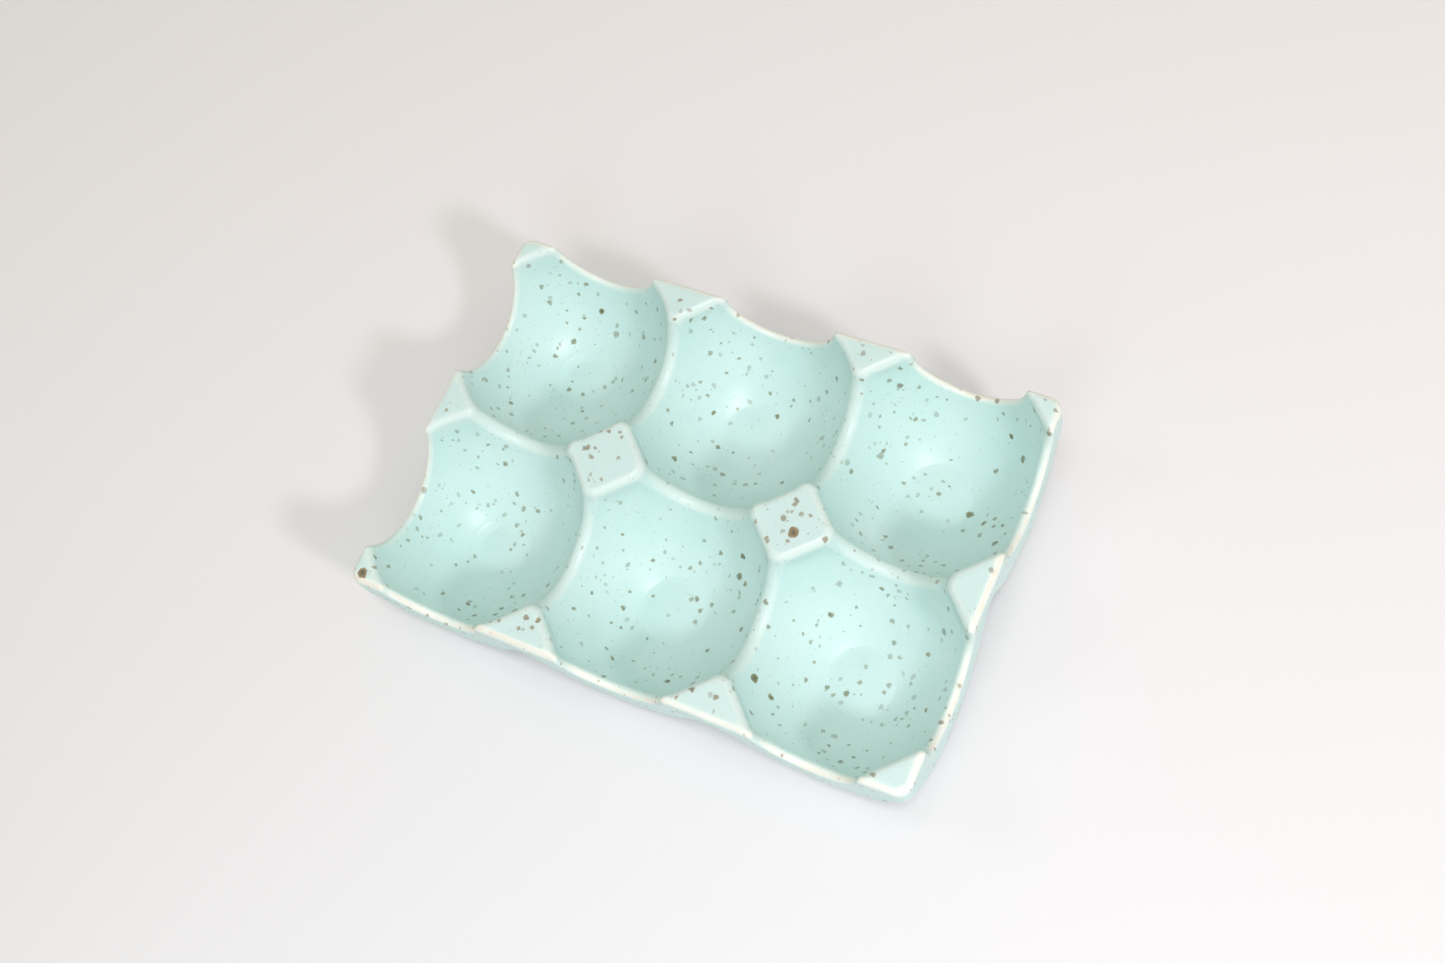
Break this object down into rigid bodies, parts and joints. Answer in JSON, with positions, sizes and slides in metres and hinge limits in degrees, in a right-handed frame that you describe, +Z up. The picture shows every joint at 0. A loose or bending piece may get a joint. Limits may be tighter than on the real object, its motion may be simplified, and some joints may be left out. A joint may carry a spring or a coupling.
{
  "type": "egg holder tray",
  "caption": "Low glazed ceramic tray of round open egg cups in two rows, with saddle ridges between the cups, flat-topped posts, a scalloped rim and a hollow underside.",
  "frame": {"origin": "middle of the tray's outline, on the surface that the tray stands on", "axes": "+X along the rows of cups, +Y across the rows towards the back, +Z up"},
  "size_m": [0.148, 0.1004, 0.029],
  "materials": {
    "glaze": "satin"
  },
  "bodies": {
    "root": {"cup_back_left": "glaze", "cup_back_middle": "glaze", "cup_back_right": "glaze", "cup_front_left": "glaze", "cup_front_middle": "glaze", "cup_front_right": "glaze", "post_inner_left": "glaze", "post_inner_right": "glaze", "post_back_left": "glaze", "post_back_right": "glaze", "post_front_left": "glaze", "post_front_right": "glaze", "post_end_left": "glaze", "post_end_right": "glaze", "corner_back_left": "glaze", "corner_back_right": "glaze", "corner_front_left": "glaze", "corner_front_right": "glaze"}
  },
  "joints": []
}
